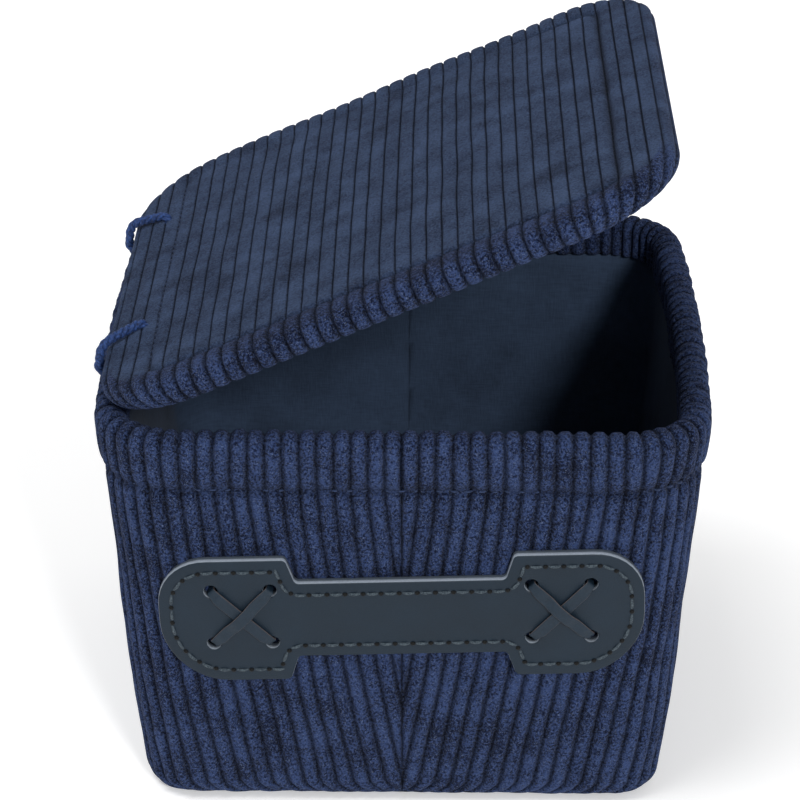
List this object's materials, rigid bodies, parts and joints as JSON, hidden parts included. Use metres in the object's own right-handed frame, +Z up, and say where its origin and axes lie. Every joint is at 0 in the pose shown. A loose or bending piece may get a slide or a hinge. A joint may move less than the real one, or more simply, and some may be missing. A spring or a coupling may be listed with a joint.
{
  "type": "fabric storage bin",
  "caption": "Square tapered storage bin in ribbed cloth with a padded lid tied on by cord loops and a laced leather pull on the front.",
  "frame": {"origin": "centre of the underside", "axes": "+Z up, -Y towards the side with the handle, -X towards the side where the lid is tied on"},
  "size_m": [0.1715, 0.1724, 0.1915],
  "materials": {
    "corduroy": "soft ribbed pile",
    "lining_cloth": "smooth woven cloth",
    "base_cloth": "plain heavy cloth",
    "blue_thread": "matt sewing thread",
    "card": "plain pressed card",
    "padding": "soft wadding",
    "handle_leather": "smooth with pale cut edges",
    "handle_thread": "waxed thread",
    "lace": "flat soft lace",
    "hinge_cord": "twisted cord"
  },
  "bodies": {
    "bin": {"outer_cover_left": "corduroy", "outer_cover_right": "corduroy", "rim_stitching": "blue_thread", "wall_board_front": "card", "wall_board_back": "card", "wall_board_left": "card", "wall_board_right": "card", "lining_left": "lining_cloth", "lining_right": "lining_cloth", "lining_base": "lining_cloth", "base_cover": "base_cloth", "base_board": "card", "handle_backing": "handle_leather", "handle_strap": "handle_leather", "handle_stitching": "handle_thread", "handle_lace_left_under": "lace", "handle_lace_left_over": "lace", "handle_lace_right_under": "lace", "handle_lace_right_over": "lace", "hinge_cord_front": "hinge_cord", "hinge_cord_rear": "hinge_cord"},
    "lid": {"lid_cover": "corduroy", "lid_lining": "lining_cloth", "lid_board": "card", "lid_foam": "padding", "lid_edge_filler": "padding", "lid_stitching": "blue_thread"}
  },
  "joints": [
    {"name": "lid_hinge", "type": "hinge", "parent": "bin", "child": "lid", "pos_m": [-0.0777, 0, 0.1224], "axis": [0, -1, 0], "range_deg": [-24, 156], "deforming": ["hinge_cord_front", "hinge_cord_rear"]}
  ]
}
